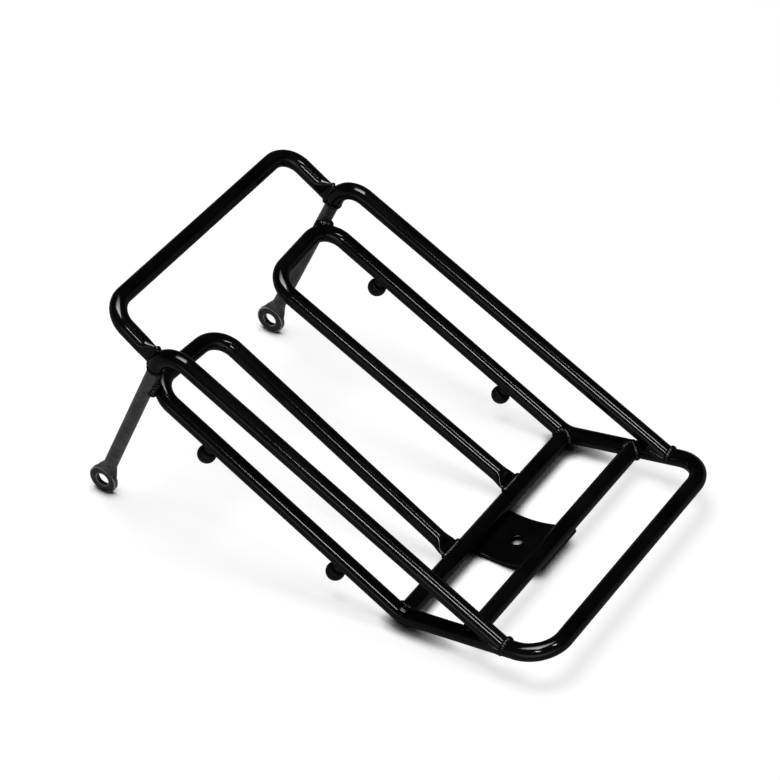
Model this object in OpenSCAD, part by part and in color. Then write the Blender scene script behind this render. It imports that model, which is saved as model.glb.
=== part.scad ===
// Tubular luggage rack that sits over the frame spine of a small motorcycle.
// The deck frame has X across, Y to the rear and Z square to the deck rails,
// with its zero between the front corners of the deck tube. The whole rack is
// then tipped so that it stands on its two feet and on its rear plate.

/* [Tubes] */
// Outside diameter of every tube
tube_d = 12; // [12:0.5:14]
// Diameter of the solid leg rods
rod_d = 9.8; // [7:0.1:10]
// Centreline radius of the bends in the deck tube and the side rails
bend_r = 18; // [15:0.5:22]
// Thickness of a tube end that is pressed flat
press_t = 3; // [2:0.5:5]
// Length over which a round tube goes flat
press_blend = 9; // [6:0.5:14]
// Length of the flat part of a pressed end
press_l = 2; // [1:0.5:5]
// Gap left for the weld where one piece is seated on another
weld_gap = 0.1; // [0.05:0.05:0.3]
// How far the metal swells out on each side where it is bent
bend_swell = 0.05; // [0.03:0.01:0.2]

/* [Deck] */
// Distance between the outer deck rails at the front, between centrelines
deck_front_w = 205.6; // [190:0.2:230]
// Distance between the outer deck rails at the kink
deck_rear_w = 211; // [190:0.2:235]
// Length of the deck from its front corners to the kink
deck_l = 223; // [190:1:260]
// Distance between the inner deck rails at the front
inner_front_w = 66; // [56:0.5:74]
// Distance between the inner deck rails at the front cross bar
inner_rear_w = 77.6; // [60:0.2:84]
// How far the inner front corners lie behind the outer ones
inner_back = 3.8; // [0:0.2:8]

/* [Tail loop] */
// Length of the tail from the kink to its rear bar
tail_l = 111.5; // [95:0.5:130]
// Angle by which the tail is bent up from the deck
tail_rise = 38.8; // [34:0.2:42]
// Distance between the tail's corners at its rear bar
tail_w = 218.6; // [200:0.2:235]
// Centreline radius of the tail's rear corners
tail_bend_r = 22.5; // [18:0.5:30]
// How far the front cross bar lies below the middle of the kink
bar_drop = 1; // [0:0.1:1.5]
// How far the front cross bar stops short of the middle of the deck tube
bar_short = 3; // [2.5:0.1:3.5]
// Distance of the rear cross bar from the kink, along the tail
cross_rear_at = 53; // [45:1:60]
// Distance from the kink at which the side rails land on the tail
side_land_at = 80.5; // [72:0.5:84]

/* [Side rails and legs] */
// Height of the side rails over the deck at their front bends
side_h = 44.6; // [40:0.2:55]
// Depth of the socket for the leg rod, below the side rail's front bend
socket_l = 4; // [2:0.5:8]
// Length of plain tube between the bend and the socket
socket_floor = 1; // [0.5:0.5:5]
// How deep each leg rod bites into the deck tube's corner
leg_bite = 0.7; // [0.4:0.1:1.5]
// Lean of the legs to the rear, from square to the deck
leg_lean_back = 4.6; // [2:0.1:6]
// Lean of the legs towards the middle
leg_lean_in = 1.5; // [0:0.1:2]
// Drop of the foot holes below the deck
foot_drop = 115.6; // [105:0.2:125]
// Radius of a foot
foot_r = 10.8; // [9:0.1:13]
// Thickness of a foot
foot_t = 3.8; // [3:0.1:6]
// Diameter of the hole in a foot
foot_hole_d = 9.6; // [8.4:0.2:12]
// Height above the foot hole at which the rod starts to go flat
foot_neck = 20; // [16:0.5:26]
// Height above the foot hole at which it is flat
foot_crease = 6.5; // [6:0.5:7.5]

/* [Front loop] */
// Height over the deck at which the loop joins the legs
loop_h = 26; // [24:0.5:32]
// Length of the loop from the legs to its front bar
loop_l = 48; // [40:1:60]
// Rise of the loop to the front, from the deck
loop_tilt = 6; // [0:0.5:12]
// How far the loop's ends lie inside the middles of the legs
loop_inset = 1.7; // [0:0.1:2.5]
// How much further in the loop's front corners lie than its ends
loop_narrow = 1.2; // [0:0.1:6]
// Centreline radius of the loop's corners
loop_bend_r = 17.5; // [15:0.5:24]

/* [Mounting plate] */
// Width of the plate
plate_w = 46.6; // [40:0.2:56]
// Thickness of the plate
plate_t = 3; // [2:0.5:4]
// How far the plate reaches in front of the front cross bar's centre
plate_lap = 2; // [1:0.5:4]
// Distance behind the front cross bar's centre at which the plate turns up
plate_turn_at = 25.5; // [22:0.5:29]
// Bend radius of the plate at its upper face
plate_bend_r = 75; // [20:1:85]
// Distance of the bolt hole behind the front cross bar's centre
plate_hole_at = 24; // [20:0.5:28]
// Diameter of the bolt hole
plate_hole_d = 9; // [6.5:0.5:11]

/* [Rubber stops] */
// Distance of the front pair from the deck's front corners
stop_front_at = 56; // [45:1:80]
// Distance of the rear pair from the deck's front corners
stop_rear_at = 170.5; // [140:0.5:185]
// Depth of a stop's centre below the rail's centreline
stop_drop = 14; // [13:0.5:18]
// Diameter of a stop
stop_d = 13.2; // [11:0.2:15]
// Height of a stop between its two flat ends
stop_h = 10.4; // [8:0.2:10.8]
// Diameter of the collar that carries a stop
collar_d = 8; // [7:0.5:9]
// Width of the stop's flat end round the collar
stop_rim = 1; // [0.5:0.1:1.2]
// Diameter of the pin that goes into a stop
pin_d = 4; // [3:0.5:5]
// Length of the pin inside the stop
pin_l = 6; // [4:0.5:7]
// Running space round the pin, where the rubber is pushed on
pin_gap = 0.1; // [0.05:0.05:0.2]

/* [Hidden] */
$fn = 48;

gloss_black = [0.07, 0.07, 0.08];
leg_grey = [0.30, 0.30, 0.29];
rubber_black = [0.13, 0.13, 0.13];

tube_r = tube_d / 2;
rod_r = rod_d / 2;
press_w = press_t + PI * (tube_d - press_t) / 2;
slice = 0.05;
seam = 0.3;
pin_joint = 1;

function unit(v) = v / norm(v);
function turn(a, b, c) = acos(unit(b - a) * unit(c - b));
function trim(a, b, c, r) = r * tan(turn(a, b, c) / 2);
function flip(p) = [-p.x, p.y, p.z];
function between(a, b, s) = a + unit(b - a) * s;

// Corner points of the deck tube on the +X side
inner_front = [inner_front_w / 2, inner_back, 0];
outer_front = [deck_front_w / 2, 0, 0];
kink = [deck_rear_w / 2, deck_l, 0];
tail_corner = [tail_w / 2, deck_l + tail_l * cos(tail_rise), tail_l * sin(tail_rise)];

// The front cross bar meets the bend at the kink just below its middle
kink_turn = turn(outer_front, kink, tail_corner);
kink_sag = bend_r * (1 / cos(kink_turn / 2) - 1);
kink_up = unit(unit(outer_front - kink) + unit(tail_corner - kink));
kink_mid = kink + kink_sag * kink_up;
cross_front_end = kink_mid - bar_drop * kink_up;
cross_rear_end = between(kink, tail_corner, cross_rear_at);
inner_dir = unit([(inner_rear_w - inner_front_w) / 2, kink_mid.y - inner_back, 0]);
inner_end = inner_front + inner_dir
    * ((kink_mid.y - tube_r - weld_gap - inner_back) / inner_dir.y);

// The leg rods cross the deck on the diagonal of its rounded front corners
leg_off = (bend_r + tube_r + rod_r - leg_bite) / sqrt(2);
leg_cross = [outer_front.x - bend_r + leg_off, bend_r - leg_off, 0];
function leg_at(z) = leg_cross + z * [tan(leg_lean_in), -tan(leg_lean_back), 1];
side_front = leg_at(side_h);
side_rear = between(kink, tail_corner, side_land_at);
foot = leg_at(-foot_drop);
leg_dir = unit(foot - side_front);
socket_end = side_front
    + leg_dir * (trim(side_rear, side_front, foot, bend_r) + socket_floor + socket_l);

loop_rear = leg_at(loop_h) - [loop_inset, 0, 0];
loop_front = [loop_rear.x - loop_narrow, loop_rear.y - loop_l * cos(loop_tilt),
              loop_h + loop_l * sin(loop_tilt)];

// The rack stands on its feet and on its plate, which sets the slope of the deck
stand = cross_front_end - foot;
stand_rise = tube_r + weld_gap + plate_t + bend_swell - foot_r;
deck_slope = atan2(stand.z, stand.y) - asin(stand_rise / norm([stand.y, stand.z]));

// The rack is tipped onto the floor and centred over the origin
function tipped(p) = [p.x, p.y * cos(deck_slope) + p.z * sin(deck_slope),
                      p.z * cos(deck_slope) - p.y * sin(deck_slope)];
rear_most = tipped(tail_corner).y + tube_r;
front_most = min(tipped(foot).y - foot_r, tipped(loop_front).y - tube_r);
shift = [0, -(rear_most + front_most) / 2, foot_r - tipped(foot).z];
bar_front = tipped(cross_front_end) + shift;
bar_rear = tipped(cross_rear_end) + shift;

module on_floor() {
    translate(shift) rotate([-deck_slope, 0, 0]) children();
}

// Puts a piece at p with its Z along z_dir and its X as near x_dir as it can be
module placed(p, z_dir, x_dir = [1, 0, 0]) {
    z = unit(z_dir);
    y = unit(cross(z, x_dir));
    x = cross(y, z);
    multmatrix([[x.x, y.x, z.x, p.x], [x.y, y.y, z.y, p.y],
                [x.z, y.z, z.z, p.z], [0, 0, 0, 1]]) children();
}

module straight(a, b, d) {
    along_x = abs(unit(b - a).x) > 0.7;
    placed(a, b - a, along_x ? [0, 0, 1] : [1, 0, 0]) cylinder(d = d, h = norm(b - a));
}

// One bend at corner b on the way from a to c, a little thicker than the tube
module bend(a, b, c, r, d) {
    u = unit(b - a);
    v = unit(c - b);
    inward = unit(v - u * (u * v));
    start = b - u * trim(a, b, c, r);
    placed(start + inward * r, cross(u, inward), -inward)
        rotate_extrude(angle = turn(a, b, c))
        translate([r, 0]) circle(d = d + 2 * bend_swell);
}

// A tube through all points, with radius radii[i] at the corner points[i].
// Its straight lengths run a seam's width into the bends.
module bent_tube(points, radii, d) {
    last = len(points) - 1;
    cut = [for (i = [0:last]) i == 0 || i == last ? 0
        : trim(points[i - 1], points[i], points[i + 1], radii[i]) - seam];
    for (i = [0:last - 1])
        straight(between(points[i], points[i + 1], cut[i]),
                 between(points[i + 1], points[i], cut[i + 1]), d);
    for (i = [1:last - 1])
        bend(points[i - 1], points[i], points[i + 1], radii[i], d);
}

// Metal that lies flat up to flat_l, w wide along X and t thick, and has gone round
// with diameter d after another length of blend
module flat_to_round(w, t, from, flat_l, blend, d) {
    round_l = flat_l + blend;
    intersection() {
        rotate_extrude() polygon([[0, from], [w / 2, from], [w / 2, flat_l],
            [d / 2 - slice, round_l], [d / 2 - slice, round_l + seam], [0, round_l + seam]]);
        rotate([90, 0, 90]) linear_extrude(2 * w, center = true)
            polygon([[-t / 2, from], [t / 2, from], [t / 2, flat_l], [d / 2, round_l],
                     [d / 2, round_l + 2 * seam], [-d / 2, round_l + 2 * seam],
                     [-d / 2, round_l], [-t / 2, flat_l]]);
    }
}

module both_sides() {
    children();
    mirror([1, 0, 0]) children();
}

inner_round = between(inner_end, inner_front, press_l + press_blend);
deck_points = [inner_round, inner_front, outer_front, kink, tail_corner,
               flip(tail_corner), flip(kink), flip(outer_front),
               flip(inner_front), flip(inner_round)];
deck_radii = [0, bend_r, bend_r, bend_r, tail_bend_r,
              tail_bend_r, bend_r, bend_r, bend_r, 0];

// One continuous tube: inner rail, front turn, outer rail, tail loop and back again
module deck_tube() {
    color(gloss_black) on_floor() difference() {
        union() {
            bent_tube(deck_points, deck_radii, tube_d);
            both_sides() placed(inner_end, inner_front - inner_end)
                flat_to_round(press_w, press_t, 0, press_l, press_blend, tube_d);
        }
        both_sides() straight(leg_at(-3 * tube_d), leg_at(3 * tube_d), rod_d + 2 * weld_gap);
    }
}

// A bar across the deck, coped at both ends onto the deck tube
module cross_bar(end) {
    color(gloss_black) on_floor() difference() {
        straight(flip(end), end, tube_d);
        both_sides() bent_tube([outer_front, kink, tail_corner], [0, bend_r, 0],
                               tube_d + 2 * weld_gap);
    }
}

module cross_front() {
    cross_bar(cross_front_end - [bar_short, 0, 0]);
}

module cross_rear() {
    cross_bar(cross_rear_end);
}

// Side rail on the +X side: coped onto the tail, bent down in front as a socket for the leg
module side_rail() {
    color(gloss_black) on_floor() difference() {
        bent_tube([side_rear, side_front, socket_end], [0, bend_r, 0], tube_d);
        straight(kink, tail_corner, tube_d + 2 * weld_gap);
        placed(socket_end - leg_dir * socket_l, leg_dir)
            cylinder(d = rod_d + 2 * weld_gap, h = 2 * socket_l);
    }
}

module side_rail_l() {
    side_rail();
}

module side_rail_r() {
    mirror([1, 0, 0]) side_rail();
}

// Leg on the +X side: a solid rod, pressed flat at its lower end round an eyelet hole
module leg() {
    rod_top = socket_end - leg_dir * (socket_l - weld_gap);
    neck_w = 2 * sqrt(foot_r * foot_r - foot_crease * foot_crease) - 4 * slice;
    color(leg_grey) on_floor() {
        straight(rod_top, foot - leg_dir * foot_neck, rod_d);
        difference() {
            union() {
                placed(foot - [foot_t / 2, 0, 0], [1, 0, 0], [0, 1, 0])
                    cylinder(r = foot_r, h = foot_t);
                placed(foot, -leg_dir, [0, 1, 0])
                    flat_to_round(neck_w, foot_t - 4 * slice, foot_crease - seam,
                                  foot_crease, foot_neck - foot_crease, rod_d);
            }
            placed(foot - [foot_t, 0, 0], [1, 0, 0], [0, 1, 0])
                cylinder(d = foot_hole_d, h = 2 * foot_t);
        }
    }
}

module leg_l() {
    leg();
}

module leg_r() {
    mirror([1, 0, 0]) leg();
}

// Loop in front of the legs, with ends pressed upright and coped onto the side rails
module front_loop() {
    flat_l = tube_r + press_l;
    round_at = between(loop_rear, loop_front, flat_l + press_blend);
    color(gloss_black) on_floor() difference() {
        union() {
            bent_tube([round_at, loop_front, flip(loop_front), flip(round_at)],
                      [0, loop_bend_r, loop_bend_r, 0], tube_d);
            both_sides() placed(loop_rear, loop_front - loop_rear, [0, 0, 1])
                flat_to_round(press_w, press_t, 0, flat_l, press_blend, tube_d);
        }
        both_sides() {
            bent_tube([side_rear, side_front, socket_end + leg_dir * weld_gap],
                      [0, bend_r, 0], tube_d + 2 * weld_gap);
            straight(side_front, foot, rod_d + 2 * weld_gap);
        }
    }
}

// Plate under the two cross bars: it lies flat on the floor under the front one
// and is bent up to pass just under the rear one
plate_top = plate_t + bend_swell;
bar_step = bar_rear - bar_front + [0, -plate_turn_at, tube_r + weld_gap];
bar_reach = norm([bar_step.y, bar_step.z]);
plate_slope = atan2(bar_step.z, bar_step.y) - asin((tube_r + weld_gap) / bar_reach);
plate_rise_l = sqrt(pow(bar_reach, 2) - pow(tube_r + weld_gap, 2)) + plate_lap;

module mounting_plate() {
    trim_l = plate_bend_r * tan(plate_slope / 2);
    pad_l = plate_lap + plate_turn_at - trim_l;
    centre = [-plate_w / 2, plate_turn_at - trim_l, plate_top + plate_bend_r];
    color(gloss_black) translate([0, bar_front.y, 0]) difference() {
        union() {
            translate([-plate_w / 2, -plate_lap, bend_swell])
                cube([plate_w, pad_l + seam, plate_t]);
            translate([-plate_w / 2, plate_turn_at, plate_top]) rotate([plate_slope, 0, 0])
                translate([0, trim_l - seam, -plate_t])
                cube([plate_w, plate_rise_l - trim_l + seam, plate_t]);
            translate(centre) rotate([0, 90, 0])
                rotate_extrude(angle = plate_slope)
                translate([plate_bend_r - bend_swell, 0])
                square([plate_t + 2 * bend_swell, plate_w]);
        }
        translate([0, plate_hole_at, 0]) rotate([plate_slope / 2, 0, 0])
            translate([0, 0, -plate_t]) cylinder(d = plate_hole_d, h = 5 * plate_t);
    }
}

// Centre of a stop below the outer rail, at a distance from the front corner
function stop_at(s) = between(outer_front, kink, s) - [0, 0, stop_drop];
stop_seat = sqrt(pow(stop_d / 2, 2) - pow(collar_d / 2 + stop_rim, 2));

// Pin welded under the rail: a collar that the stop sits against and a thin end inside it
module stop_pin(s, side) {
    color(gloss_black) on_floor() difference() {
        translate(side > 0 ? stop_at(s) : flip(stop_at(s))) {
            translate([0, 0, stop_seat]) cylinder(d = collar_d, h = stop_drop - stop_seat);
            translate([0, 0, stop_seat - pin_l]) cylinder(d = pin_d, h = pin_l + pin_joint);
        }
        straight(side > 0 ? outer_front : flip(outer_front), side > 0 ? kink : flip(kink),
                 tube_d + 2 * weld_gap);
    }
}

// Ball-shaped rubber stop with two flats, pushed on its pin
module stop(s, side) {
    color(rubber_black) on_floor()
        translate(side > 0 ? stop_at(s) : flip(stop_at(s))) difference() {
            rotate_extrude() intersection() {
                circle(d = stop_d);
                translate([0, stop_seat - weld_gap - stop_h]) square([stop_d, stop_h]);
            }
            translate([0, 0, stop_seat - pin_l - pin_gap])
                cylinder(d = pin_d + 2 * pin_gap, h = pin_l + pin_joint);
        }
}

module stop_pin_fl() { stop_pin(stop_front_at, 1); }
module stop_pin_fr() { stop_pin(stop_front_at, -1); }
module stop_pin_rl() { stop_pin(stop_rear_at, 1); }
module stop_pin_rr() { stop_pin(stop_rear_at, -1); }
module stop_fl() { stop(stop_front_at, 1); }
module stop_fr() { stop(stop_front_at, -1); }
module stop_rl() { stop(stop_rear_at, 1); }
module stop_rr() { stop(stop_rear_at, -1); }

deck_tube();
cross_front();
cross_rear();
side_rail_l();
side_rail_r();
leg_l();
leg_r();
front_loop();
mounting_plate();
stop_pin_fl();
stop_pin_fr();
stop_pin_rl();
stop_pin_rr();
stop_fl();
stop_fr();
stop_rl();
stop_rr();
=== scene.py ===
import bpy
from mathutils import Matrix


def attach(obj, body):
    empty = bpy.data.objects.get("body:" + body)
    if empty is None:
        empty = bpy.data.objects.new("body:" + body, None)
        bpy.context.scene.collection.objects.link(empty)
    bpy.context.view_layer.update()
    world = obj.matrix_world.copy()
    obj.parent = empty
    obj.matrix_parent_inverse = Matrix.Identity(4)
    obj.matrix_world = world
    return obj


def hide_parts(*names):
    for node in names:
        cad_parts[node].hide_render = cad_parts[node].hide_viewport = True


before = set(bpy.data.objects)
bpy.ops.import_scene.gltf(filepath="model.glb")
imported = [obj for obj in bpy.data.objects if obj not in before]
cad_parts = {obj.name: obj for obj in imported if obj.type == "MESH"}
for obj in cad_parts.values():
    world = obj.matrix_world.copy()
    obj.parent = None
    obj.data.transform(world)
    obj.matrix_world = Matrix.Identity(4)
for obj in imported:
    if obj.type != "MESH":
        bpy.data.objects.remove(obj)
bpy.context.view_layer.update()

from types import SimpleNamespace
import bpy
import numpy as np
from mathutils import Matrix

mm = 0.001
print("frame loaded:", len(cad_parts), "nodes")

# The rack's driving sizes, in millimetres and degrees, as in the part's source.
rack = dict(
    tubeD=12, rodD=9.8, bendR=18, bendSwell=0.05, weldGap=0.1,
    pressT=3, pressBlend=9, pressL=2,
    deckFrontW=205.6, deckRearW=211, deckL=223,
    innerFrontW=66, innerRearW=77.6, innerBack=3.8,
    tailL=111.5, tailRise=38.8, tailW=218.6, tailBendR=22.5,
    barDrop=1, crossRearAt=53, sideLandAt=80.5,
    sideH=44.6, socketL=4, socketFloor=1, legBite=0.7,
    legLeanBack=4.6, legLeanIn=1.5, footDrop=115.6, footR=10.8, footT=3.8,
    footHoleD=9.6, footNeck=20, footCrease=6.5,
    loopH=26, loopL=48, loopTilt=6, loopInset=1.7, loopNarrow=1.2, loopBendR=17.5,
    plateW=46.6, plateT=3, plateLap=2, plateTurnAt=25.5, plateBendR=75,
    plateHoleAt=24, plateHoleD=9,
    stopFrontAt=56, stopRearAt=170.5, stopDrop=14, stopD=13.2, stopH=10.4,
    collarD=8, stopRim=1,
)


# Vectors and angles.
def unit(v):
    v = np.asarray(v, float)
    return v / np.linalg.norm(v, axis=-1, keepdims=True)


def vec(*c):
    return np.array(c, float)


def sinD(a):
    return float(np.sin(np.radians(a)))


def cosD(a):
    return float(np.cos(np.radians(a)))


def tanD(a):
    return float(np.tan(np.radians(a)))


def flip(p):                              # to the other side of the middle plane
    return np.asarray(p, float) * vec(-1, 1, 1)


def between(a, b, s):                     # the point s millimetres from a on the way to b
    return a + unit(b - a) * s


def turnOf(a, b, c):                      # angle between the ways a-b and b-c, in radians
    return float(np.arccos(np.clip(unit(b - a) @ unit(c - b), -1, 1)))


def trimOf(a, b, c, r):                   # what a bend of radius r takes off each straight
    return r * float(np.tan(turnOf(a, b, c) / 2))


def around(steps):                        # even angles round a full turn
    return np.linspace(0, 2 * np.pi, steps, endpoint=False)


def distances(p):                         # how far along the line each point lies
    return np.r_[0, np.cumsum(np.linalg.norm(np.diff(p, axis=0), axis=1))]


up = vec(0, 0, 1)
side = vec(1, 0, 0)


def setOutDeck(r):
    # corner points in the deck's own frame: X across, Y to the rear, Z square to the rails
    d = SimpleNamespace()
    d.tubeR, d.rodR = r["tubeD"] / 2, r["rodD"] / 2
    d.innerFront = vec(r["innerFrontW"] / 2, r["innerBack"], 0)
    d.outerFront = vec(r["deckFrontW"] / 2, 0, 0)
    d.kink = vec(r["deckRearW"] / 2, r["deckL"], 0)
    d.tailCorner = vec(r["tailW"] / 2, r["deckL"] + r["tailL"] * cosD(r["tailRise"]),
                       r["tailL"] * sinD(r["tailRise"]))

    # the kink's bend runs inside its corner, and the front bar sits a little below the bend
    d.kinkUp = unit(unit(d.outerFront - d.kink) + unit(d.tailCorner - d.kink))
    sag = r["bendR"] * (1 / np.cos(turnOf(d.outerFront, d.kink, d.tailCorner) / 2) - 1)
    d.kinkMid = d.kink + sag * d.kinkUp
    d.crossFront = d.kinkMid - r["barDrop"] * d.kinkUp
    d.crossRear = between(d.kink, d.tailCorner, r["crossRearAt"])
    innerDir = unit(vec((r["innerRearW"] - r["innerFrontW"]) / 2, d.kinkMid[1] - r["innerBack"], 0))
    d.innerEnd = d.innerFront + innerDir * (
        (d.kinkMid[1] - d.tubeR - r["weldGap"] - r["innerBack"]) / innerDir[1])

    # the leg touches the deck's front bend on its diagonal and carries the side rail and the loop
    off = (r["bendR"] + d.tubeR + d.rodR - r["legBite"]) / np.sqrt(2)
    d.legCross = vec(d.outerFront[0] - r["bendR"] + off, r["bendR"] - off, 0)
    d.lean = vec(tanD(r["legLeanIn"]), -tanD(r["legLeanBack"]), 1)
    d.legAt = lambda z: d.legCross + z * d.lean
    d.sideFront, d.foot = d.legAt(r["sideH"]), d.legAt(-r["footDrop"])
    d.sideRear = between(d.kink, d.tailCorner, r["sideLandAt"])
    d.legDir = unit(d.foot - d.sideFront)
    d.socketEnd = d.sideFront + d.legDir * (
        trimOf(d.sideRear, d.sideFront, d.foot, r["bendR"]) + r["socketFloor"] + r["socketL"])
    d.loopRear = d.legAt(r["loopH"]) - vec(r["loopInset"], 0, 0)
    d.loopFront = d.loopRear + vec(-r["loopNarrow"], -r["loopL"] * cosD(r["loopTilt"]),
                                   r["loopL"] * sinD(r["loopTilt"]))

    # the rack stands on its feet and its plate, which sets the slope
    stand = d.crossFront - d.foot
    rise = d.tubeR + r["weldGap"] + r["plateT"] + r["bendSwell"] - r["footR"]
    slope = np.arctan2(stand[2], stand[1]) - np.arcsin(rise / np.hypot(stand[1], stand[2]))
    c, s = np.cos(slope), np.sin(slope)
    d.tip = np.array([[1, 0, 0], [0, c, s], [0, -s, c]])
    rear = (d.tip @ d.tailCorner)[1] + d.tubeR
    front = min((d.tip @ d.foot)[1] - r["footR"], (d.tip @ d.loopFront)[1] - d.tubeR)
    d.shift = vec(0, -(rear + front) / 2, r["footR"] - (d.tip @ d.foot)[2])
    return d


deck = setOutDeck(rack)


def toFloor(p):                           # deck frame to the row frame, still in millimetres
    return np.asarray(p, float) @ deck.tip.T + deck.shift


# Surfaces.
tubeSides = 44
leastArc = 6                              # a bend has at least this many points
tiny = 1e-6                               # points closer than this are one


def bentLine(points, radii, step=1.2, arcStep=0.05):
    # straight lengths joined by arcs; returns the points along it and its directions there
    pts, tans = [], []
    last = len(points) - 1
    cut = [0 if i in (0, last) else trimOf(points[i - 1], points[i], points[i + 1], radii[i])
           for i in range(last + 1)]
    for i in range(last):
        a, b = points[i], points[i + 1]
        u = unit(b - a)
        a, b = a + u * cut[i], b - u * cut[i + 1]
        n = max(2, int(np.linalg.norm(b - a) / step) + 1)
        t = np.linspace(0, 1, n)[:, None]
        pts.append(a + (b - a) * t)
        tans.append(np.repeat(u[None], n, 0))
        if i + 1 < last:                   # P = centre + r (u sin t - inward cos t)
            v = unit(points[i + 2] - points[i + 1])
            inward = unit(v - u * (u @ v))
            r, turn = radii[i + 1], turnOf(points[i], points[i + 1], points[i + 2])
            k = np.linspace(0, turn, max(leastArc, int(turn / arcStep) + 1))[1:-1, None]
            pts.append(b + inward * r + r * (u * np.sin(k) - inward * np.cos(k)))
            tans.append(u * np.cos(k) + inward * np.sin(k))
    p, t = np.concatenate(pts), np.concatenate(tans)
    keep = np.r_[True, np.linalg.norm(np.diff(p, axis=0), axis=1) > tiny]
    return p[keep], t[keep]


def sectionFrames(tangents, upward):
    # N is upward made square to the tangent, B completes the frame
    n = unit(upward - (tangents @ upward)[:, None] * tangents)
    return n, np.cross(tangents, n)


def section(w, h, v, firm=3):
    # across = (w - h) tanh(firm cos v) / tanh(firm) + h cos v where w > h, and the same the
    # other way round where h > w: a flat with round ends, and a circle where they are alike
    small = np.minimum(w, h)
    across = np.maximum(w - h, 0) * np.tanh(firm * np.cos(v)) / np.tanh(firm) + small * np.cos(v)
    rise = np.maximum(h - w, 0) * np.tanh(firm * np.sin(v)) / np.tanh(firm) + small * np.sin(v)
    return across, rise


def sweep(p, t, upward, halfW, halfT, slide=None):
    # S(u, v) = P + B across(v) + N rise(v), and T slide(u, v) more where an end is coped
    n, b = sectionFrames(t, upward)
    w = np.broadcast_to(halfW, len(p))[:, None]
    h = np.broadcast_to(halfT, len(p))[:, None]
    across, rise = section(w, h, around(tubeSides))
    s = p[:, None] + b[:, None] * across[..., None] + n[:, None] * rise[..., None]
    return s if slide is None else s + t[:, None] * slide[..., None]


def gridFaces(rows, cols, wrapRows=False):
    # quads of a grid whose columns close on themselves
    i = np.arange(rows if wrapRows else rows - 1)[:, None]
    j = np.arange(cols)[None]
    i2, j2 = (i + 1) % rows, (j + 1) % cols
    q = np.stack([i * cols + j, i * cols + j2, i2 * cols + j2, i2 * cols + j], -1)
    return q.reshape(-1, 4)


def makeMesh(name, verts, faces, smooth=True):
    mesh = bpy.data.meshes.new(name)
    mesh.from_pydata((verts * mm).tolist(), [], faces)
    mesh.validate()
    mesh.polygons.foreach_set("use_smooth", [smooth] * len(mesh.polygons))
    mesh.update()
    piece = bpy.data.objects.new(name, mesh)
    bpy.context.scene.collection.objects.link(piece)
    return piece


def outward(verts, faces):
    # signed volume tells whether the faces point out; they are turned round if not
    tri = np.array([[f[0], f[k], f[k + 1]] for f in faces for k in range(1, len(f) - 1)])
    a, b, c = verts[tri[:, 0]], verts[tri[:, 1]], verts[tri[:, 2]]
    if np.einsum("ij,ij->i", a, np.cross(b, c)).sum() < 0:
        faces = [list(f)[::-1] for f in faces]
    return faces


def closedTube(grid):
    # a swept grid with a pole at each end
    rows, cols = grid.shape[:2]
    verts = grid.reshape(-1, 3)
    ends = np.stack([grid[0].mean(0), grid[-1].mean(0)])
    faces = gridFaces(rows, cols).tolist()
    a, b = len(verts), len(verts) + 1
    last = (rows - 1) * cols
    faces += [[a, (j + 1) % cols, j] for j in range(cols)]
    faces += [[b, last + j, last + (j + 1) % cols] for j in range(cols)]
    verts = np.concatenate([verts, ends])
    return verts, outward(verts, faces)


def ringSurface(grid):
    # a swept grid that closes in both directions
    rows, cols = grid.shape[:2]
    verts = grid.reshape(-1, 3)
    return verts, outward(verts, gridFaces(rows, cols, True).tolist())


def joined(parts):
    # several closed shells in one mesh
    verts, faces, base = [], [], 0
    for v, f in parts:
        verts.append(v)
        faces += [[k + base for k in g] for g in f]
        base += len(v)
    return np.concatenate(verts), faces


def mirrored(part):
    verts, faces = part
    return flip(verts), [f[::-1] for f in faces]


def revolve(centre, axis, start, profile, steps):
    # S(k, a) = centre + axis z_k + r_k (cos a start + sin a other)
    axis, start = unit(axis), unit(start - unit(axis) * (start @ unit(axis)))
    other = np.cross(axis, start)
    a = around(steps)
    r, z = np.array(profile, float).T
    ring = np.cos(a)[:, None] * start + np.sin(a)[:, None] * other
    return centre + z[:, None, None] * axis + r[:, None, None] * ring[None]


def copeSlide(end, away, rings, m, axis, r):
    # s with |q + s d| = r, where q runs from the axis of the cylinder (m, axis, r) to each ring
    # point and d is away, both taken square to that axis
    axis = unit(axis)
    q = end + rings - m
    q = q - (q @ axis)[..., None] * axis
    d = away - (away @ axis) * axis
    b = q @ d
    c = np.einsum("...k,...k->...", q, q) - r * r
    return (-b + np.sqrt(np.maximum(b * b - d @ d * c, 0))) / (d @ d)


def resample(curve, step=None, count=None):
    # points at even distances round a closed line, by their spacing or by their number
    p = np.concatenate([curve, curve[:1]])
    s = distances(p)
    q = np.linspace(0, s[-1], count or int(s[-1] / step), endpoint=False)
    return np.stack([np.interp(q, s, c) for c in p.T], 1)


# Materials.
class Wire:
    # an output socket, so that shader maths reads as plain sums
    def __init__(self, paint, out):
        self.paint, self.out = paint, out

    def maths(self, kind, a, b):
        return self.paint.node("ShaderNodeMath", dict(operation=kind), {0: a, 1: b})

    def __add__(self, b):
        return self.maths("ADD", self, b)

    def __radd__(self, b):
        return self.maths("ADD", b, self)

    def __sub__(self, b):
        return self.maths("SUBTRACT", self, b)

    def __rsub__(self, b):
        return self.maths("SUBTRACT", b, self)

    def __mul__(self, b):
        return self.maths("MULTIPLY", self, b)

    def __rmul__(self, b):
        return self.maths("MULTIPLY", b, self)

    def __truediv__(self, b):
        return self.maths("DIVIDE", self, b)

    def __rtruediv__(self, b):
        return self.maths("DIVIDE", b, self)

    def between(self, low, high):          # 0 below low, 1 above high, smooth between
        return self.paint.node("ShaderNodeMapRange", dict(interpolation_type="SMOOTHSTEP"),
                               {"Value": self, "From Min": low, "From Max": high})


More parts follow.
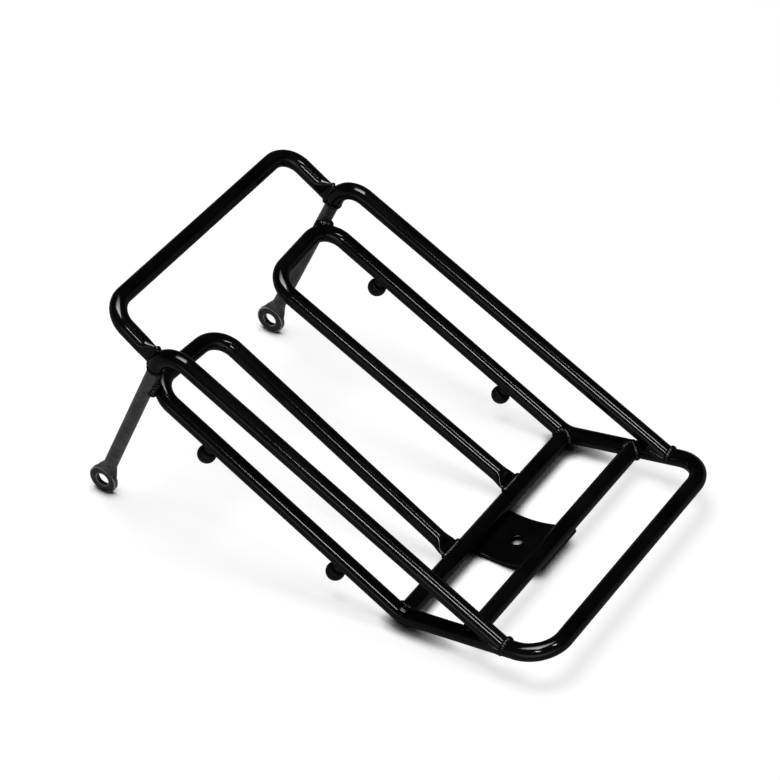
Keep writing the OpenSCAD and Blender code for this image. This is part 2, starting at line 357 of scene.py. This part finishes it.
class Paint:
    # a material, or the world, and its node tree
    def __init__(self, holder):
        holder.use_nodes = True
        self.holder, self.tree = holder, holder.node_tree
        self.tree.nodes.clear()

    def node(self, kind, settings, values, output=0):
        n = self.tree.nodes.new(kind)
        for key, value in settings.items():
            setattr(n, key, value)
        for key, value in values.items():
            if isinstance(value, Wire):
                self.tree.links.new(value.out, n.inputs[key])
            else:
                n.inputs[key].default_value = value
        return Wire(self, n.outputs[output]) if n.outputs else n

    def noise(self, place, scale, detail, rough=0.5):
        return self.node("ShaderNodeTexNoise", {}, {"Vector": place, "Scale": scale,
                                                    "Detail": detail, "Roughness": rough}, "Fac")

    def vector(self, kind, values, output=0):
        return self.node("ShaderNodeVectorMath", dict(operation=kind), values, output)

    def blend(self, factor, a, b):         # from colour a to colour b
        return self.node("ShaderNodeMix", dict(data_type="RGBA"),
                         {"Factor": factor, 6: (*a, 1) if isinstance(a, tuple) else a,
                          7: (*b, 1) if isinstance(b, tuple) else b}, 2)

    def seen(self):                        # 1 where the camera, a mirror or a glass looks
        rays = [self.node("ShaderNodeLightPath", {}, {}, "Is %s Ray" % kind)
                for kind in ("Camera", "Glossy", "Transmission")]
        return self.node("ShaderNodeMath", dict(operation="ADD", use_clamp=True),
                         {0: rays[0] + rays[1], 1: rays[2]})

    def finish(self, shader, kind="ShaderNodeOutputMaterial"):
        self.node(kind, {}, {"Surface": shader})
        return self.holder


def newPaint(name):
    return Paint(bpy.data.materials.new(name))


# What every finish shares, then the painted highlights on the eyelets' rims, in millimetres from an
# edge.
skin = dict(cloudRange=(0.35, 0.7), roughRange=(0.3, 0.75), dustSpread=0.12, dustRough=0.3,
            edgeBlend=0.5, edgeRange=(0.05, 0.2))
eyelet = dict(face=-0.5, rimOn=(-1.2, -0.6), rimOff=(-0.4, 0.2), holeOn=(0, 0.3),
              holeOff=(0.5, 1.1), holeShare=0.6, patches=(0.3, 0.6))


def eyeletColour(m, place, o, colour, cloud, foot):
    # r is the distance from the eyelet's axis: black face, with a painted highlight along both rims
    at = m.vector("SUBTRACT", {0: place, 1: (0, foot[1] * mm, foot[2] * mm)})
    at = m.vector("MULTIPLY", {0: at, 1: (0, 1, 1)})
    r = m.vector("LENGTH", {0: at}, "Value") / mm

    def band(edge, on, off):               # comes up over on and goes down again over off
        return r.between(edge + on[0], edge + on[1]) * (
            1 - r.between(edge + off[0], edge + off[1]))

    rod = r.between(rack["footR"] + eyelet["face"], rack["footNeck"])
    colour = m.blend(rod, o["lugColour"], colour)
    # painted highlight: a lighter colour in patches along the lug's outer rim and the hole's rim
    outer = band(rack["footR"], eyelet["rimOn"], eyelet["rimOff"])
    inner = band(rack["footHoleD"] / 2, eyelet["holeOn"], eyelet["holeOff"])
    rimHighlight = (outer + inner * eyelet["holeShare"]) * cloud.between(*eyelet["patches"])
    return m.blend(rimHighlight * o["rimHighlightShare"], colour, o["rimHighlightColour"])


def paintedSurface(name, o, foot=None):
    # near black paint: clouds and dust in the colour, a gloss that fades where it is seen
    # edge on, and orange peel with fine grit as bump
    m = newPaint(name)
    place = m.node("ShaderNodeTexCoord", {}, {}, "Object")
    cloud = m.noise(place, o["cloudScale"], detail=3.0, rough=0.6)
    specks = m.noise(place, o["dustScale"], detail=4.0, rough=0.7)
    dust = specks.between(o["dustFrom"], o["dustFrom"] + skin["dustSpread"]) * o["dustAmount"]
    peel = m.noise(place, o["peelScale"], detail=1.0)
    grit = m.noise(place, o["gritScale"], detail=3.0, rough=0.7)
    colour = m.blend(cloud.between(*skin["cloudRange"]), o["colour"], o["lighter"])
    if foot is not None:
        colour = eyeletColour(m, place, o, colour, cloud, foot)
    colour = m.blend(dust, colour, o["dustColour"])
    rough = (o["rough"] + o["roughSpread"] * cloud.between(*skin["roughRange"])
             + skin["dustRough"] * dust)
    height = peel * o["peelShare"] + grit * (1 - o["peelShare"])
    bump = m.node("ShaderNodeBump", {}, {"Strength": o["bump"], "Distance": o["bumpDepth"],
                                         "Height": height})
    edgeOn = m.node("ShaderNodeLayerWeight", {}, {"Blend": skin["edgeBlend"]}, "Facing")
    shine = o["shine"] + (o["shineEdge"] - o["shine"]) * edgeOn.between(*skin["edgeRange"])
    dull = m.node("ShaderNodeBsdfPrincipled", {}, {
        "Base Color": colour, "Roughness": rough, "Normal": bump, "Specular IOR Level": 0.0})
    shiny = m.node("ShaderNodeBsdfPrincipled", {}, {
        "Base Color": colour, "Roughness": o["shineRough"], "Normal": bump})
    return m.finish(m.node("ShaderNodeMixShader", {}, {0: shine, 1: dull, 2: shiny}))


gloss = dict(colour=(0.0010, 0.0010, 0.0011), lighter=(0.0026, 0.0026, 0.0026),
             dustColour=(0.07, 0.068, 0.063), dustAmount=0.05, dustFrom=0.62, dustScale=700.0,
             cloudScale=24.0, peelScale=520.0, gritScale=1900.0, peelShare=0.75,
             rough=0.4, roughSpread=0.2, bump=0.10, bumpDepth=0.0003,
             shine=0.9, shineEdge=0.10, shineRough=0.10)
# the legs: lugColour is the lugs' black face, and the rim colour with its share paints a highlight
# on the lugs' rims
forged = dict(colour=(0.010, 0.0103, 0.0097), lighter=(0.033, 0.0333, 0.0317),
              dustColour=(0.10, 0.10, 0.09), dustAmount=0.22, dustFrom=0.56, dustScale=520.0,
              lugColour=(0.002, 0.002, 0.002), rimHighlightColour=(0.26, 0.26, 0.25), rimHighlightShare=0.85,
              cloudScale=160.0, peelScale=420.0, gritScale=1300.0, peelShare=0.5,
              rough=0.5, roughSpread=0.14, bump=0.35, bumpDepth=0.0004,
              shine=0.35, shineEdge=0.3, shineRough=0.35)
bead = dict(gloss, shineRough=0.16, peelScale=900.0, bump=0.3, dustAmount=0.14)
softBlack = dict(colour=(0.002, 0.002, 0.002), lighter=(0.005, 0.005, 0.0049),
                 dustColour=(0.08, 0.08, 0.075), dustAmount=0.25, dustFrom=0.58, dustScale=900.0,
                 cloudScale=120.0, peelScale=700.0, gritScale=2600.0, peelShare=0.3,
                 rough=0.5, roughSpread=0.16, bump=0.3, bumpDepth=0.0002,
                 shine=0.3, shineEdge=0.1, shineRough=0.45)

glossBlack = paintedSurface("glossBlackPaint", gloss)
forgedBlack = paintedSurface("forgedLeg", forged, toFloor(deck.foot))
beadBlack = paintedSurface("paintedWeld", bead)
rubberBlack = paintedSurface("rubber", softBlack)
print("materials ready")


def addPiece(name, parts, material, nodes=()):
    verts, faces = joined(parts)
    piece = makeMesh(name, toFloor(verts), faces)
    piece.data.materials.append(material)
    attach(piece, "root")
    if nodes:
        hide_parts(*nodes)


def pressed(s, flatL, blendL, w, t, r):
    # half width and half thickness at s from a pressed end: flat, then round over blendL
    k = np.clip((s - flatL) / blendL, 0, 1)
    k = k * k * (3 - 2 * k)
    return w + (r - w) * k, t + (r - t) * k


pressW = rack["pressT"] + np.pi * (rack["tubeD"] - rack["pressT"]) / 2
tailDir = unit(deck.tailCorner - deck.kink)
kinkDir = unit(unit(deck.kink - deck.outerFront) + tailDir)

# Deck tube.
points = [deck.innerEnd, deck.innerFront, deck.outerFront, deck.kink, deck.tailCorner]
points += [flip(p) for p in points[::-1]]
radii = [0, rack["bendR"], rack["bendR"], rack["bendR"], rack["tailBendR"]]
radii += radii[::-1]
line, tangent = bentLine(points, radii)
s = distances(line)
s = np.minimum(s, s[-1] - s)
w, t = pressed(s, rack["pressL"], rack["pressBlend"], pressW / 2, rack["pressT"] / 2, deck.tubeR)
addPiece("deckTube", [closedTube(sweep(line, tangent, up, w, t))], glossBlack,
         nodes=["deck_tube"])

# Cross bars.
bars = dict(sink=0.6, rings=60)


def crossBar(name, end, m, axis, node):
    # every line along the bar runs from one coped end to the other: x = k (end - cut)
    v = around(tubeSides)
    rings = deck.tubeR * (np.cos(v)[:, None] * vec(0, 1, 0) + np.sin(v)[:, None] * up)
    x = end[0] - copeSlide(end, -side, rings, m, axis, deck.tubeR - bars["sink"])
    k = np.linspace(-1, 1, bars["rings"])[:, None]
    grid = end * vec(0, 1, 1) + rings[None] + (k * x[None])[..., None] * side
    addPiece(name, [closedTube(grid)], glossBlack, nodes=[node])


crossBar("crossFront", deck.crossFront, deck.kinkMid, kinkDir, "cross_front")
crossBar("crossRear", deck.crossRear, deck.crossRear, tailDir, "cross_rear")

# Side rails, coped at the rear; the cope's slide fades out along the straight.
sideRail = dict(step=3.0, fadeL=200)
line, tangent = bentLine([deck.sideRear, deck.sideFront, deck.socketEnd], [0, rack["bendR"], 0],
                         sideRail["step"])
v = around(tubeSides)
n, b = sectionFrames(tangent[:1], side)
rings = deck.tubeR * (np.cos(v)[:, None] * b[0] + np.sin(v)[:, None] * n[0])
cut = copeSlide(deck.sideRear, tangent[0], rings, deck.crossRear, tailDir,
                deck.tubeR - bars["sink"])
fade = np.clip(1 - distances(line) / sideRail["fadeL"], 0, 1)
rail = closedTube(sweep(line, tangent, side, deck.tubeR, deck.tubeR,
                        fade[:, None] * cut[None]))
addPiece("sideRailLeft", [rail], glossBlack, nodes=["side_rail_l"])
addPiece("sideRailRight", [mirrored(rail)], glossBlack, nodes=["side_rail_r"])

# Legs: the rod has finer rings where it flattens towards the eyelet.
leg = dict(into=3.0, sink=0.6, slack=0.1, rings=20, neckL=25, neckGap=1, neckRings=40,
           edge=0.7, edgeSteps=5, lugSteps=72)
top = deck.socketEnd - deck.legDir * leg["into"]
bottom = deck.foot - deck.legDir * (rack["footCrease"] - leg["sink"])
length = float(np.linalg.norm(bottom - top))
s = np.r_[np.linspace(0, length - leg["neckL"] - leg["neckGap"], leg["rings"]),
          np.linspace(length - leg["neckL"], length, leg["neckRings"])]
line = top + deck.legDir * s[:, None]
tangent = np.repeat(deck.legDir[None], len(s), 0)
neckW = np.sqrt(rack["footR"] ** 2 - rack["footCrease"] ** 2) - leg["slack"]
w, t = pressed(length - s, leg["sink"], rack["footNeck"] - rack["footCrease"], neckW,
               rack["footT"] / 2 - leg["slack"], deck.rodR)
rod = closedTube(sweep(line, tangent, side, w, t))


def roundedRing(inner, outer, half, edge, steps):
    # a rectangle from inner to outer radius with its four edges rounded
    k = np.linspace(0, np.pi / 2, steps)
    corners = [(outer - edge, half - edge, 0), (inner + edge, half - edge, 1),
               (inner + edge, edge - half, 2), (outer - edge, edge - half, 3)]
    return np.concatenate([np.stack([cr + edge * np.cos(k + q * np.pi / 2),
                                     cz + edge * np.sin(k + q * np.pi / 2)], 1)
                           for cr, cz, q in corners])


lug = ringSurface(revolve(deck.foot, side, vec(0, 1, 0), roundedRing(
    rack["footHoleD"] / 2, rack["footR"], rack["footT"] / 2, leg["edge"], leg["edgeSteps"]),
    leg["lugSteps"]))
addPiece("legLeft", [rod, lug], forgedBlack, nodes=["leg_l"])
addPiece("legRight", [mirrored(rod), mirrored(lug)], forgedBlack, nodes=["leg_r"])

# Front loop, whose ends stop inside the side rails' sockets.
loop = dict(endCut=3.0)
line, tangent = bentLine([deck.loopRear, deck.loopFront, flip(deck.loopFront),
                          flip(deck.loopRear)], [0, rack["loopBendR"], rack["loopBendR"], 0])
loopUp = vec(0, sinD(rack["loopTilt"]), cosD(rack["loopTilt"]))
s = distances(line)
s = np.minimum(s, s[-1] - s)
w, t = pressed(s, deck.tubeR + rack["pressL"], rack["pressBlend"], pressW / 2,
               rack["pressT"] / 2, deck.tubeR)
keep = s > loop["endCut"]
addPiece("frontLoop", [closedTube(sweep(line[keep], tangent[keep], loopUp, t[keep], w[keep]))],
         glossBlack, nodes=["front_loop"])
print("tubes made")

# Mounting plate: a pad on the floor, a bend, and a slope up to the rear bar.
plate = dict(corner=2.5, cornerSteps=12, bevel=0.45, bevelSteps=3, rings=16, steps=160,
             ringSpread=1.2)
barFront, barRear = toFloor(deck.crossFront), toFloor(deck.crossRear)
gapR = deck.tubeR + rack["weldGap"]
stepYZ = barRear - barFront + vec(0, -rack["plateTurnAt"], gapR)
reach = float(np.hypot(stepYZ[1], stepYZ[2]))
plateSlope = float(np.arctan2(stepYZ[2], stepYZ[1]) - np.arcsin(gapR / reach))
plateTop = rack["plateT"] + rack["bendSwell"]
trim = rack["plateBendR"] * np.tan(plateSlope / 2)
padL = rack["plateLap"] + rack["plateTurnAt"] - trim
midR = rack["plateBendR"] + rack["plateT"] / 2
arcL = midR * plateSlope
riseL = np.sqrt(reach ** 2 - gapR ** 2) + rack["plateLap"] - trim
turnY = barFront[1] + rack["plateTurnAt"] - trim
turnZ = plateTop + rack["plateBendR"]


def bendSheet(x, d):
    # d runs along the middle of the sheet: flat, an arc of midR, then straight again
    a = np.clip((d - padL) / midR, 0, plateSlope)
    rest = np.maximum(d - padL - arcL, 0)
    y = turnY + np.minimum(d - padL, 0) + midR * np.sin(a) + rest * np.cos(a)
    z = turnZ - midR * np.cos(a) + rest * np.sin(a)
    return np.stack([x, y, z], -1)


def roundedOutline(w, l, r):
    # points at even distances round a rectangle w by l with corners of radius r
    k = np.linspace(0, np.pi / 2, plate["cornerSteps"])
    c = [(w / 2 - r, l - r, 0), (r - w / 2, l - r, 1), (r - w / 2, r, 2), (w / 2 - r, r, 3)]
    p = np.concatenate([np.stack([x + r * np.cos(k + q * np.pi / 2),
                                  y + r * np.sin(k + q * np.pi / 2)], 1) for x, y, q in c])
    return resample(p, count=plate["steps"])


# rings from the hole's edge to the sheet's outline, closer together at the hole
holeD = padL + midR * float(np.arcsin((rack["plateHoleAt"] + barFront[1] - turnY) / midR))
rim = roundedOutline(rack["plateW"], padL + arcL + riseL, plate["corner"])
a = np.arctan2(rim[:, 1] - holeD, rim[:, 0])
hole = np.stack([np.cos(a), np.sin(a)], 1) * rack["plateHoleD"] / 2 + vec(0, holeD)
k = np.linspace(0, 1, plate["rings"])[:, None, None] ** plate["ringSpread"]
flatGrid = hole[None] * (1 - k) + rim[None] * k
grid = bendSheet(flatGrid[..., 0], flatGrid[..., 1])
faces = gridFaces(plate["rings"], plate["steps"]).tolist()
sheet = makeMesh("mountingPlate", grid.reshape(-1, 3), faces)
sheet.data.materials.append(glossBlack)
thick = sheet.modifiers.new("thickness", "SOLIDIFY")
thick.thickness, thick.offset = rack["plateT"] * mm, 0
edge = sheet.modifiers.new("edges", "BEVEL")
edge.width, edge.segments, edge.limit_method = plate["bevel"] * mm, plate["bevelSteps"], "ANGLE"
edge.harden_normals = True
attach(sheet, "root")
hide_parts("mounting_plate")

# Rubber stops on their pins.
stop = dict(edge=0.5, edgeSteps=5, bulge=0.35, into=1.2, chamfer=0.3, pole=0.02,
            arcSteps=30, ballSteps=48, pinSteps=40)
stopSeat = float(np.sqrt((rack["stopD"] / 2) ** 2 - (rack["collarD"] / 2 + rack["stopRim"]) ** 2))


def ballProfile(r, low, high):
    # a circle cut by two flats: its last points at each flat make way for a rounded corner
    k = np.linspace(np.arcsin(low / r), np.arcsin(high / r), stop["arcSteps"])
    ballR, ballZ = r * np.cos(k), r * np.sin(k)
    edge, bulge = stop["edge"], stop["edge"] * stop["bulge"]
    e = np.linspace(0, 1, stop["edgeSteps"])[1:, None]
    head = np.c_[ballR[0] - edge + edge * np.sin(np.pi / 2 * e), low + bulge * e ** 2]
    tail = np.c_[ballR[-1] - edge * e ** 2, high - bulge * (1 - e)]
    return np.r_[[[stop["pole"], low]], head, np.c_[ballR, ballZ][2:-2], tail,
                 [[stop["pole"], high]]]


ballTop = stopSeat - rack["weldGap"]
pinR, pinTop = rack["collarD"] / 2, rack["stopDrop"] - deck.tubeR + stop["into"]
for name, node, at in (("Front", "f", "stopFrontAt"), ("Rear", "r", "stopRearAt")):
    centre = between(deck.outerFront, deck.kink, rack[at]) - up * rack["stopDrop"]
    ball = closedTube(revolve(centre, up, side, ballProfile(
        rack["stopD"] / 2, ballTop - rack["stopH"], ballTop), stop["ballSteps"]))
    pin = closedTube(revolve(centre, up, side, [
        (stop["pole"], stopSeat), (pinR - stop["chamfer"], stopSeat),
        (pinR, stopSeat + stop["chamfer"]), (pinR, pinTop), (stop["pole"], pinTop)],
        stop["pinSteps"]))
    for hand, letter in (("Left", "l"), ("Right", "r")):
        if hand == "Right":
            ball, pin = mirrored(ball), mirrored(pin)
        addPiece("stop" + name + hand, [ball], rubberBlack, ["stop_" + node + letter])
        addPiece("stopPin" + name + hand, [pin], glossBlack, nodes=["stop_pin_" + node + letter])
print("plate and stops made")

# Welds: the radius of each bead, then what the beads share.
weld = dict(tube=2.1, pressed=1.9, loop=1.8, socket=1.3, stop=1.0, corner=2.9,
            mouth=0.3, cornerWide=4.4, cornerTall=4.9, cornerDrop=1.0,
            pitch=1.35, ripple=0.09, lag=1.3, swell=(0.06, 0.05), phase=6.28, flat=0.8,
            sides=14, points=160, step=0.28, seed=7)
weldRandom = np.random.default_rng(weld["seed"])


def beadGrid(curve, out, radius):
    # a rope round the curve: r = radius (1 + ripple sin(2 pi k u - lag cos v)), with two slow
    # swells on top, flattened in the outward direction
    t = unit(np.roll(curve, -1, 0) - np.roll(curve, 1, 0))
    n = unit(out - np.einsum("ij,ij->i", out, t)[:, None] * t)
    b = np.cross(t, n)
    s = distances(np.concatenate([curve, curve[:1]]))
    wave = 2 * np.pi * s[:-1, None] / s[-1]
    ripples = round(s[-1] / weld["pitch"])
    v = around(weld["sides"])
    phase = weldRandom.uniform(0, weld["phase"], 4)    # a bead takes four draws and uses two
    r = radius * (1 + weld["swell"][0] * np.sin(2 * wave + phase[0])
                  + weld["swell"][1] * np.sin(3 * wave + phase[1]))
    r = r * (1 + weld["ripple"] * np.sin(ripples * wave - weld["lag"] * np.cos(v)))
    return (curve[:, None] + n[:, None] * (weld["flat"] * r * np.cos(v))[..., None]
            + b[:, None] * (r * np.sin(v))[..., None])


def cylinderNormal(p, m, axis):
    axis = unit(axis)
    q = p - m
    return unit(q - (q @ axis)[..., None] * axis)


def jointCurve(end, away, rings, m, axis, r):
    # the line on which a branch with those ring vectors meets the cylinder, and its outward side
    p = end + rings + copeSlide(end, away, rings, m, axis, r)[..., None] * away
    return p, unit(unit(rings) + cylinderNormal(p, m, axis))


def addWeld(name, curve, out, radius):
    # each point of the evened line takes its outward side from the nearest point of the first
    line = resample(curve, weld["step"])
    near = np.argmin(((line[:, None] - curve[None]) ** 2).sum(-1), 1)
    part = ringSurface(beadGrid(line, out[near], radius))
    addPiece("weld" + name + "Left", [part], beadBlack)
    addPiece("weld" + name + "Right", [mirrored(part)], beadBlack)


turn = around(weld["points"])


def roundRings(a, b, r):
    return r * (np.cos(turn)[:, None] * a + np.sin(turn)[:, None] * b)


tubeRings = roundRings(vec(0, 1, 0), up, deck.tubeR)
addWeld("FrontBar", *jointCurve(deck.crossFront, -side, tubeRings, deck.kinkMid, kinkDir,
                                deck.tubeR), weld["tube"])
addWeld("RearBar", *jointCurve(deck.crossRear, -side, tubeRings, deck.crossRear, tailDir,
                               deck.tubeR), weld["tube"])
railDir = unit(deck.sideFront - deck.sideRear)
n, b = sectionFrames(railDir[None], side)
addWeld("SideRail", *jointCurve(deck.sideRear, railDir, roundRings(b[0], n[0], deck.tubeR),
                                deck.crossRear, tailDir, deck.tubeR), weld["tube"])

# the pressed ends of the inner rails against the front bar
innerDir = unit(deck.innerFront - deck.innerEnd)
across, rise = section(pressW / 2, rack["pressT"] / 2, turn)
rings = across[:, None] * unit(np.cross(innerDir, up)) + rise[:, None] * up
end = deck.innerEnd * vec(1, 0, 0) + deck.crossFront * vec(0, 1, 1)
addWeld("InnerRail", *jointCurve(end + deck.kinkUp * rack["barDrop"], innerDir, rings,
                                 deck.crossFront, side, deck.tubeR), weld["pressed"])

# the pressed ends of the loop against the legs
loopDir = unit(deck.loopFront - deck.loopRear)
n, b = sectionFrames(loopDir[None], loopUp)
across, rise = section(rack["pressT"] / 2, pressW / 2, turn)
rings = across[:, None] * b[0] + rise[:, None] * n[0]
addWeld("Loop", *jointCurve(deck.loopRear, loopDir, rings, deck.sideFront, deck.legDir,
                            deck.tubeR), weld["loop"])

# the leg rods at the mouth of their sockets, and against the corners of the deck tube
n, b = sectionFrames(deck.legDir[None], side)
ring = roundRings(b[0], n[0], deck.rodR + weld["mouth"])
addWeld("Socket", deck.socketEnd + ring, unit(ring), weld["socket"])
gap = deck.tubeR + deck.rodR - rack["legBite"]
diagonal, along = unit(vec(1, -1, 0)), unit(vec(1, 1, 0))
y, z = weld["cornerWide"] * np.cos(turn), weld["cornerTall"] * np.sin(turn) - weld["cornerDrop"]
mid = (np.sqrt(deck.tubeR ** 2 - z ** 2) + gap - np.sqrt(deck.rodR ** 2 - y ** 2)) / 2
corner = deck.legCross - diagonal * gap
curve = corner + mid[:, None] * diagonal + y[:, None] * along + z[:, None] * up
addWeld("Leg", curve, unit(y[:, None] * along + (z[:, None] + weld["cornerDrop"]) * up),
        weld["corner"])

# the pins of the stops under the rails
rings = roundRings(side, vec(0, 1, 0), rack["collarD"] / 2)
for name, at in (("StopFront", "stopFrontAt"), ("StopRear", "stopRearAt")):
    root = between(deck.outerFront, deck.kink, rack[at])
    addWeld(name, *jointCurve(root, -up, rings, root, unit(deck.kink - deck.outerFront),
                              deck.tubeR), weld["stop"])
print("welds made")

# Floor, light and camera, in metres.
studio = dict(
    floorSize=6.0, floorColour=(0.93, 0.93, 0.925), whiteShare=0.72,
    # the contact values set the painted shade on the floor where the rack comes close to it
    contactReach=0.012, contactRange=(0.5, 0.92), paintedShadeColour=(0.02, 0.02, 0.02), contactRays=8,
    horizon=0.8, ceiling=0.03, wallRange=(0.06, 0.25), aimHeight=0.05,
    keySize=1.1, keyHeight=1.9, keyForward=0.3, keyPower=47.0,
    frontAt=(0.62, 0.32, 0.72), rearAt=(0.02, 0.52, 0.855),
    stripSize=(0.12, 0.36), stripPower=3.2, stripDistance=1.6, stripShift=0.10)

# a white floor with painted contact shade: where the rack comes close to it, ambient occlusion
# darkens its colour to near black and lets less of the white through
floorPaint = newPaint("whiteFloor")
openness = floorPaint.node("ShaderNodeAmbientOcclusion", dict(samples=studio["contactRays"]),
                           {"Distance": studio["contactReach"]}, "AO")
# painted shade: 0 where the rack is close to the floor, 1 in the open
paintedShadeMask = openness.between(*studio["contactRange"])
plain = floorPaint.node("ShaderNodeBsdfPrincipled", {}, {
    "Base Color": floorPaint.blend(paintedShadeMask, studio["paintedShadeColour"], studio["floorColour"]),
    "Roughness": 1.0, "Specular IOR Level": 0.0})
white = floorPaint.node("ShaderNodeEmission", {}, {"Color": (1, 1, 1, 1), "Strength": 1.0})
floorMaterial = floorPaint.finish(floorPaint.node("ShaderNodeMixShader", {}, {
    0: floorPaint.seen() * studio["whiteShare"] * paintedShadeMask, 1: plain, 2: white}))
half = studio["floorSize"] / 2 / mm
corners = np.array([[-1, -1, 0], [1, -1, 0], [1, 1, 0], [-1, 1, 0]]) * half
floor = makeMesh("floor", corners, [[0, 1, 2, 3]], smooth=False)
floor.data.materials.append(floorMaterial)

# the room is pale round the horizon and dark overhead
world = bpy.data.worlds.new("studio")
bpy.context.scene.world = world
room = Paint(world)
ray = room.node("ShaderNodeTexCoord", {}, {}, "Generated")
height = room.node("ShaderNodeSeparateXYZ", {}, {0: ray}, "Z")
overhead = height.between(*studio["wallRange"])
level = studio["horizon"] + (studio["ceiling"] - studio["horizon"]) * overhead
room.finish(room.node("ShaderNodeBackground", {}, {"Color": (1, 1, 1, 1), "Strength": level}),
            "ShaderNodeOutputWorld")


def addLamp(name, direction, distance, size, power, along, shift):
    # a rectangle that faces the rack, its long side turned along a given way
    lamp = bpy.data.lights.new(name, "AREA")
    lamp.shape = "RECTANGLE"
    lamp.size, lamp.size_y = size
    lamp.energy = power
    holder = bpy.data.objects.new(name, lamp)
    bpy.context.scene.collection.objects.link(holder)
    z = unit(direction)
    y = unit(along - (along @ z) * z)
    place = vec(0, 0, studio["aimHeight"]) + z * distance + y * shift
    turned = np.c_[np.cross(y, z), y, z, place]
    holder.matrix_world = Matrix([*turned.tolist(), [0, 0, 0, 1]])


addLamp("keyLamp", up, studio["keyHeight"], (studio["keySize"],) * 2, studio["keyPower"],
        vec(0, 1, 0), -studio["keyForward"])
railWay = deck.tip @ vec(0, 1, 0)
for name in ("front", "rear"):
    addLamp(name + "Lamp", studio[name + "At"], studio["stripDistance"], studio["stripSize"],
            studio["stripPower"], railWay, studio["stripShift"])

view = dict(place=(1.367, 0.890, 1.477), turn=(49.715, 0.84, 122.633), lens=148.58, sensor=36,
            shift=(0.0051, -0.0005), clip=(0.05, 50))
camera = bpy.data.objects.new("camera", bpy.data.cameras.new("camera"))
bpy.context.scene.collection.objects.link(camera)
camera.location = view["place"]
camera.rotation_euler = np.radians(view["turn"])
camera.data.lens, camera.data.sensor_width = view["lens"], view["sensor"]
camera.data.shift_x, camera.data.shift_y = view["shift"]
camera.data.clip_start, camera.data.clip_end = view["clip"]
bpy.context.scene.camera = camera
bpy.context.scene.view_settings.view_transform = "Standard"
print("studio ready")
